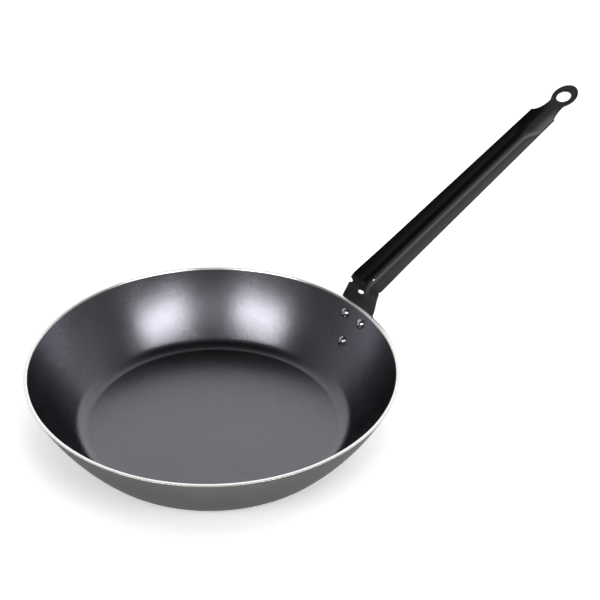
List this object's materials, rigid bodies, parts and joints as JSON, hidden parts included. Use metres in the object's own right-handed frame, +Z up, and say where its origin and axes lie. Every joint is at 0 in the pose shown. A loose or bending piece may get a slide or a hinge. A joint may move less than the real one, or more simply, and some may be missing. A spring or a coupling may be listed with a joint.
{
  "type": "frying pan",
  "caption": "Carbon-steel frying pan: a shallow spun bowl with a flat base and a curved, flaring wall, and a long riveted handle of pressed strip that ends in a hanging eye.",
  "frame": {"origin": "centre of the underside of the flat base", "axes": "+Z up, square to the base; +X along the handle, from the bowl's centre to the hanging eye; +Y to the left of the handle"},
  "size_m": [0.5046, 0.28, 0.182],
  "materials": {
    "bowl_steel": "fine-ground carbon steel with a faint blue-grey oxide, semi-gloss",
    "handle_lacquer": "black lacquer, glossy",
    "rivet_steel": "polished steel"
  },
  "bodies": {
    "root": {"bowl": "bowl_steel", "handle": "handle_lacquer", "rivet_upper_left": "rivet_steel", "rivet_upper_right": "rivet_steel", "rivet_lower": "rivet_steel"}
  },
  "joints": []
}
